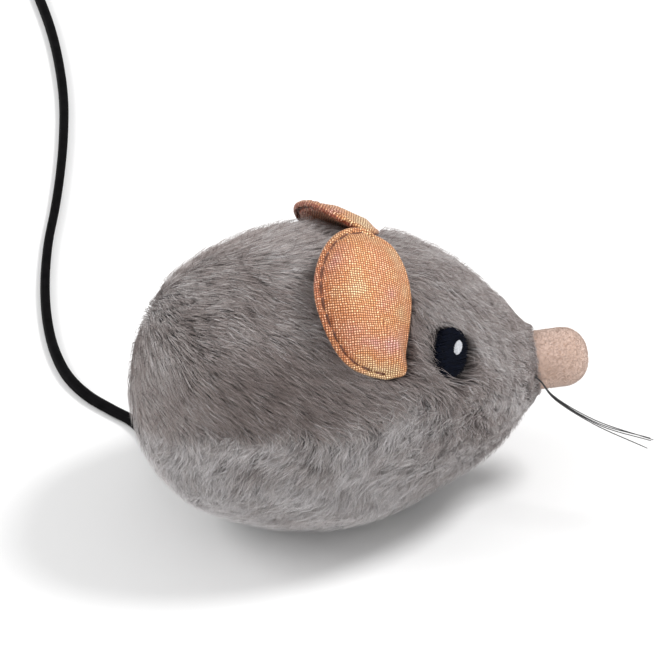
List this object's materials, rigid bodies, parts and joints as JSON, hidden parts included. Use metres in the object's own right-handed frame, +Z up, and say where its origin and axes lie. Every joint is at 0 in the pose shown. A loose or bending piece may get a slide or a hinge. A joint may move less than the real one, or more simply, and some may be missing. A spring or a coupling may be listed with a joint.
{
  "type": "clockwork mouse",
  "caption": "Plush wind-up mouse: fur-covered egg body, padded ears, lace tail, winding key on its left flank and a geared motor that drives wheels under its belly.",
  "frame": {"origin": "on the ground, under the middle of the body's box with the tail left out", "axes": "+X to the nose, +Y to the mouse's left, +Z up"},
  "size_m": [0.1188, 0.236, 0.0654],
  "materials": {
    "fur": "short dense grey pile on knitted backing",
    "stuffing": "polyester fibre fill",
    "shimmer_cloth": "woven orange cloth with a pearly shimmer",
    "eye_thread": "satin stitch in navy thread",
    "white_thread": "satin stitch in white thread",
    "nose_flock": "short velvety pile",
    "whisker_thread": "black nylon thread",
    "lace": "black flat lace, smooth face and fibrous edges",
    "case_plastic": "moulded, fine texture",
    "key_plastic": "moulded",
    "moulded_nylon": "natural nylon",
    "steel": "bright drawn",
    "brass": "stamped",
    "tyre_rubber": "matt"
  },
  "bodies": {
    "mouse": {"fur_right_side": "fur", "fur_left_side": "fur", "fur_belly": "fur", "stuffing": "stuffing", "ear_right_front": "shimmer_cloth", "ear_right_back": "shimmer_cloth", "eye_right": "eye_thread", "eye_right_glint": "white_thread", "whisker_right_1": "whisker_thread", "whisker_right_2": "whisker_thread", "whisker_right_3": "whisker_thread", "whisker_right_4": "whisker_thread", "case_right": "case_plastic", "plate_screw_right": "steel", "ear_left_front": "shimmer_cloth", "ear_left_back": "shimmer_cloth", "eye_left": "eye_thread", "eye_left_glint": "white_thread", "whisker_left_1": "whisker_thread", "whisker_left_2": "whisker_thread", "whisker_left_3": "whisker_thread", "whisker_left_4": "whisker_thread", "case_left": "case_plastic", "plate_screw_left": "steel", "nose": "nose_flock", "tail_lace": "lace", "mainspring": "steel", "case_screw_1": "steel", "case_screw_2": "steel", "case_screw_3": "steel", "roller_pin": "steel", "belly_plate": "case_plastic"},
    "winder": {"winding_arbor": "steel", "great_wheel": "brass", "ratchet_wheel": "steel", "ratchet_click": "steel", "winding_key": "key_plastic"},
    "second": {"second_wheel": "moulded_nylon", "second_arbor": "steel"},
    "governor": {"governor_pinion": "moulded_nylon", "governor_weight": "brass", "governor_arbor": "steel"},
    "drive": {"drive_pinion": "moulded_nylon", "drive_axle": "steel", "wheel_hub_right": "moulded_nylon", "wheel_hub_left": "moulded_nylon", "tyre_right": "tyre_rubber", "tyre_left": "tyre_rubber"},
    "roller": {"rear_roller": "moulded_nylon"}
  },
  "joints": [
    {"name": "winder_turn", "type": "hinge", "parent": "mouse", "child": "winder", "pos_m": [-0.0205, 0, 0.013], "axis": [0, 1, 0], "continuous": true},
    {"name": "second_turn", "type": "hinge", "parent": "mouse", "child": "second", "pos_m": [-0.0105, 0, 0.013], "axis": [0, 1, 0], "continuous": true},
    {"name": "governor_turn", "type": "hinge", "parent": "mouse", "child": "governor", "pos_m": [-0.0105, 0, 0.0215], "axis": [0, 1, 0], "continuous": true},
    {"name": "drive_turn", "type": "hinge", "parent": "mouse", "child": "drive", "pos_m": [-0.00502, 0, 0.0065], "axis": [0, 1, 0], "continuous": true},
    {"name": "roller_turn", "type": "hinge", "parent": "mouse", "child": "roller", "pos_m": [-0.0331, 0, 0.003], "axis": [0, 1, 0], "continuous": true}
  ],
  "couplings": [
    {"joint": "second_turn", "follows": "winder_turn", "ratio": -3},
    {"joint": "governor_turn", "follows": "winder_turn", "ratio": 7.2},
    {"joint": "drive_turn", "follows": "winder_turn", "ratio": 7.2}
  ]
}
